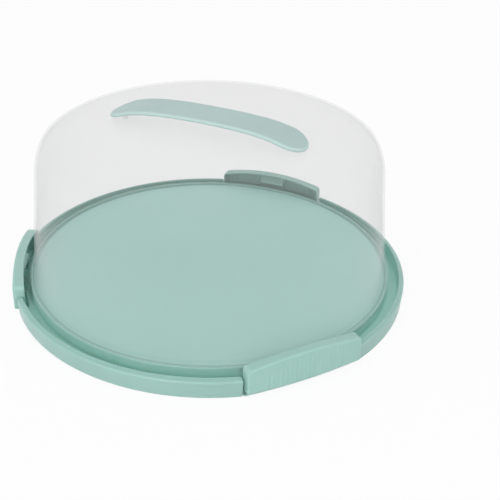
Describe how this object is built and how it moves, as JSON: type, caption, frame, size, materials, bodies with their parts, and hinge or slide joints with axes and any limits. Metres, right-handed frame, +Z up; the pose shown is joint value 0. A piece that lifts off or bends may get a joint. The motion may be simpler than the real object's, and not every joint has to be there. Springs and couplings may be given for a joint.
{
  "type": "cake carrier",
  "caption": "Round cake carrier: a flat tray with hinged snap latches on its rim, and a clear cover with a strap handle.",
  "frame": {"origin": "centre of the tray on the surface it stands on", "axes": "+Z up, along the axis of the tray and cover; -Y towards the viewer of the picture, +X to the viewer's right"},
  "size_m": [0.3451, 0.348, 0.161],
  "materials": {
    "tray_plastic": "satin moulded",
    "clear_plastic": "clear polished",
    "strap_plastic": "soft satin",
    "latch_plastic": "satin moulded"
  },
  "bodies": {
    "tray": {"base_tray": "tray_plastic"},
    "cover": {"dome_cover": "clear_plastic", "carry_handle": "strap_plastic", "handle_post_left": "strap_plastic", "handle_post_right": "strap_plastic"},
    "front_latch": {"front_latch": "latch_plastic"},
    "left_latch": {"left_latch": "latch_plastic"},
    "rear_latch": {"rear_latch": "latch_plastic"}
  },
  "joints": [
    {"name": "cover_lift", "type": "slide", "parent": "tray", "child": "cover", "axis": [0, 0, 1], "range_m": [0, 0.21]},
    {"name": "front_latch_hinge", "type": "hinge", "parent": "tray", "child": "front_latch", "pos_m": [0.08096, -0.14606, 0.007], "axis": [0.8746, 0.4848, 0], "range_deg": [0, 95]},
    {"name": "left_latch_hinge", "type": "hinge", "parent": "tray", "child": "left_latch", "pos_m": [-0.16646, -0.01339, 0.007], "axis": [0.0802, -0.9968, 0], "range_deg": [0, 95]},
    {"name": "rear_latch_hinge", "type": "hinge", "parent": "tray", "child": "rear_latch", "pos_m": [0.05657, 0.15713, 0.007], "axis": [-0.9409, 0.3387, 0], "range_deg": [0, 95]}
  ]
}
